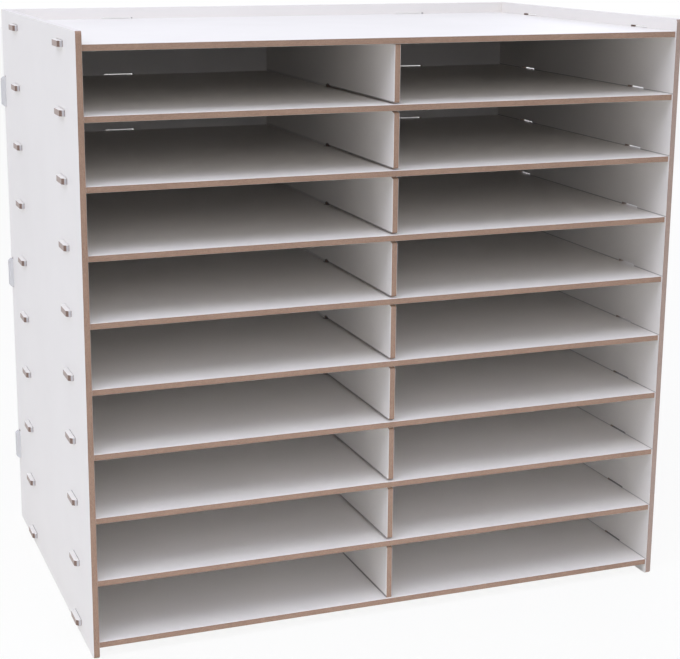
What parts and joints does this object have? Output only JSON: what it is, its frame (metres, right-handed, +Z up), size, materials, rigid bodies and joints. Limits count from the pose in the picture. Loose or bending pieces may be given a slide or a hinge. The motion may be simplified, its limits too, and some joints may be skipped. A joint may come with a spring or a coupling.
{
  "type": "desk sorter",
  "caption": "Open-front desk sorter with side-by-side columns of shallow paper bays, slotted together from thin white-coated boards with bare brown edges and a low rim around its top tray.",
  "frame": {"origin": "on the floor plane, midway across the width and the depth of the side panels", "axes": "+X across the front to the viewer's right, +Y from the open front to the back panel, +Z up"},
  "size_m": [0.516, 0.328, 0.4915],
  "materials": {
    "coated_board": "satin white coat on both faces, bare brown cut edges"
  },
  "bodies": {
    "root": {"left_side": "coated_board", "right_side": "coated_board", "back_panel": "coated_board", "divider": "coated_board", "bottom_shelf": "coated_board", "shelf_1": "coated_board", "shelf_2": "coated_board", "shelf_3": "coated_board", "shelf_4": "coated_board", "shelf_5": "coated_board", "shelf_6": "coated_board", "shelf_7": "coated_board", "shelf_8": "coated_board", "top_shelf": "coated_board"}
  },
  "joints": []
}
